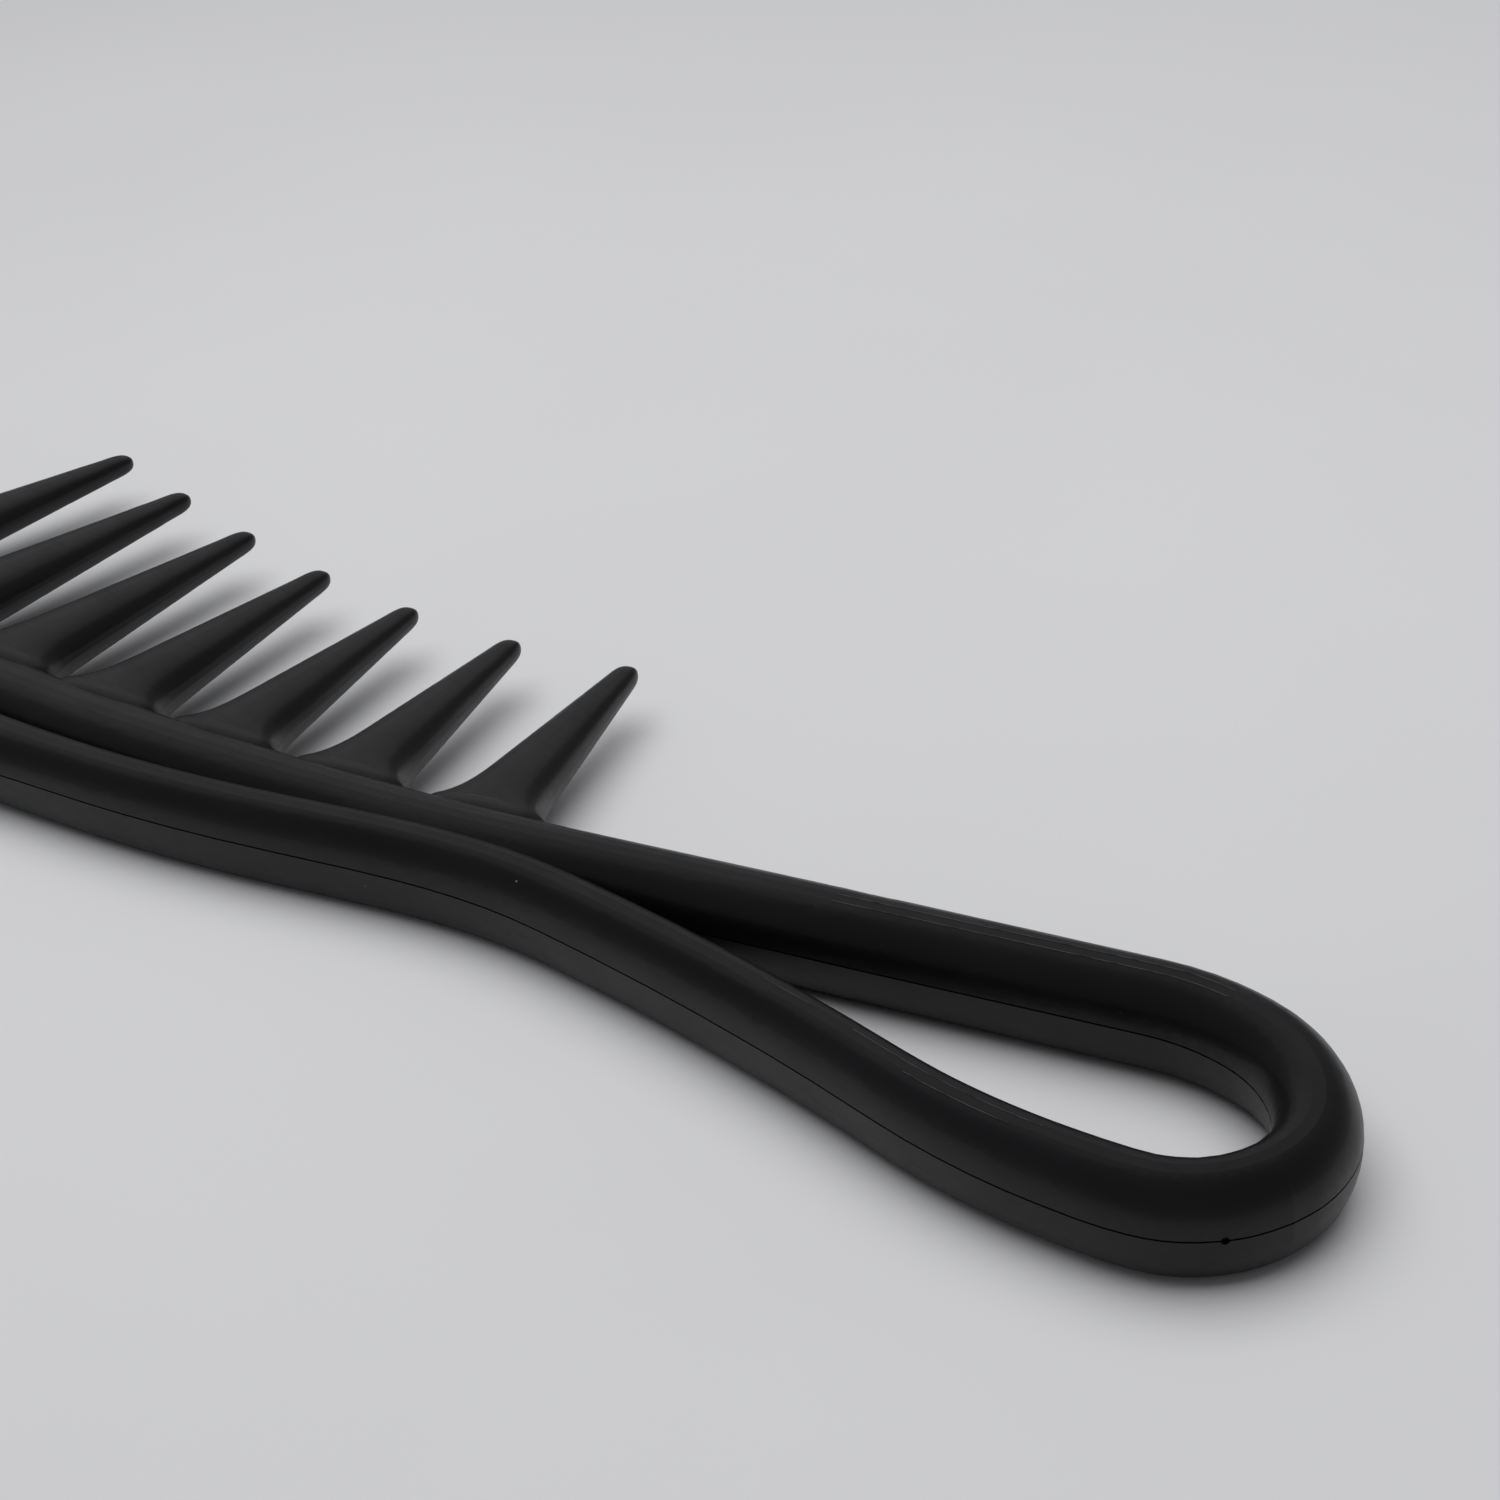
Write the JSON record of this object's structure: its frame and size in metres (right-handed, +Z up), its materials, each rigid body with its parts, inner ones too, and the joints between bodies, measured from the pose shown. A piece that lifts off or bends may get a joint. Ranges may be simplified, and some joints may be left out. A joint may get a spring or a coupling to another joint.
{
  "type": "wide tooth comb",
  "caption": "Rigid curved wide tooth comb with a looped handle; its fanned teeth part and detangle hair, and it hangs by the loop.",
  "frame": {"origin": "centre of the comb's bounding box in plan, at the flat underside it lies on", "axes": "+X along the comb towards the handle loop, +Y the way the teeth point, +Z up out of the surface it lies on"},
  "size_m": [0.1771, 0.061, 0.0081],
  "materials": {
    "shell_plastic": "satin black, faintly grained moulding",
    "tooth_plastic": "satin black, smooth polished moulding"
  },
  "bodies": {
    "root": {"upper_shell": "shell_plastic", "lower_shell": "shell_plastic", "tooth_strip": "tooth_plastic"}
  },
  "joints": []
}
